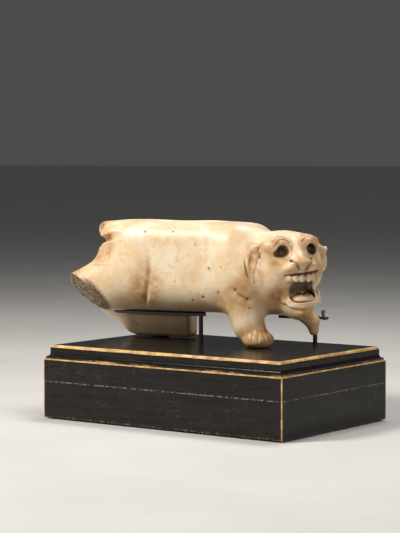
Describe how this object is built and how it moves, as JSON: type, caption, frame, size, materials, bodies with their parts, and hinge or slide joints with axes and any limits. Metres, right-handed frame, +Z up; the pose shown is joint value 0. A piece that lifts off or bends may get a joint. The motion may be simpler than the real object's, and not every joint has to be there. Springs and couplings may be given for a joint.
{
  "type": "molcajete",
  "caption": "Polished stone mortar carved as a roaring big cat with a shallow basin along its back, lying in a blackened metal cradle on a moulded black wooden plinth.",
  "frame": {"origin": "centre of the plinth's underside, where the baize meets the table", "axes": "+X along the plinth's length, towards the carving's head; +Y towards the far side; +Z up"},
  "size_m": [0.2208, 0.1298, 0.1375],
  "materials": {
    "alabaster": "satin",
    "ebonised_top": "gloss",
    "ebonised_base": "gloss",
    "screw_steel": "satin",
    "baize": "matte",
    "washer_brass": "satin",
    "nut_brass": "satin",
    "blackened_post": "gloss",
    "blackened_bar": "satin",
    "prong_rod": "satin",
    "clear_sleeve": "gloss",
    "felt_pad": "matte"
  },
  "bodies": {
    "plinth": {"plinth_top_board": "ebonised_top", "plinth_base_board": "ebonised_base", "board_screws": "screw_steel", "baize_sheet": "baize", "post_washers": "washer_brass", "post_nuts": "nut_brass", "front_post": "blackened_post", "front_arm": "blackened_bar", "front_prong": "prong_rod", "front_prong_sleeve": "clear_sleeve", "rear_post": "blackened_post", "rear_cradle_bar": "blackened_bar", "rear_prong": "prong_rod", "rear_prong_sleeve": "clear_sleeve", "rear_saddle_pad": "felt_pad", "foot_pad": "felt_pad"},
    "carving": {"effigy_mortar": "alabaster"}
  },
  "joints": [
    {"name": "carving_lift", "type": "slide", "parent": "plinth", "child": "carving", "axis": [0, 0, 1], "range_m": [0, 0.06]}
  ]
}
